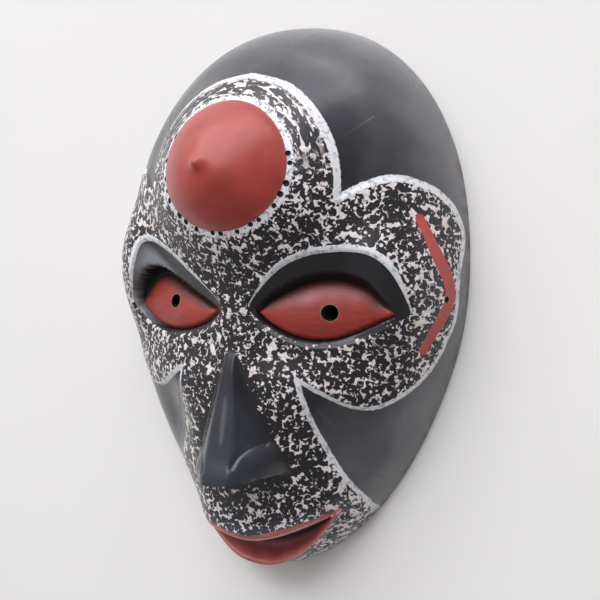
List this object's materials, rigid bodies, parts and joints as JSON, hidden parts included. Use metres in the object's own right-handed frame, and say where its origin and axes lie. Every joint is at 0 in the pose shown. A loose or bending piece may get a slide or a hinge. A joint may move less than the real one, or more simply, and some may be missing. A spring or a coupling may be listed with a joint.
{
  "type": "african wooden mask",
  "caption": "Carved and painted hollow wooden face mask with a round boss on the forehead, deep eye sockets, drilled pupils and an open mouth, lying on its back rim",
  "frame": {"origin": "in the plane of the back rim, halfway between crown and chin and on the mask's middle line", "axes": "+Z out of the face, +Y towards the crown, +X to the viewer's right when the face is looked at"},
  "size_m": [0.206, 0.3, 0.1098],
  "materials": {
    "painted_wood": "satin"
  },
  "bodies": {
    "root": {"carved_mask": "painted_wood"}
  },
  "joints": []
}
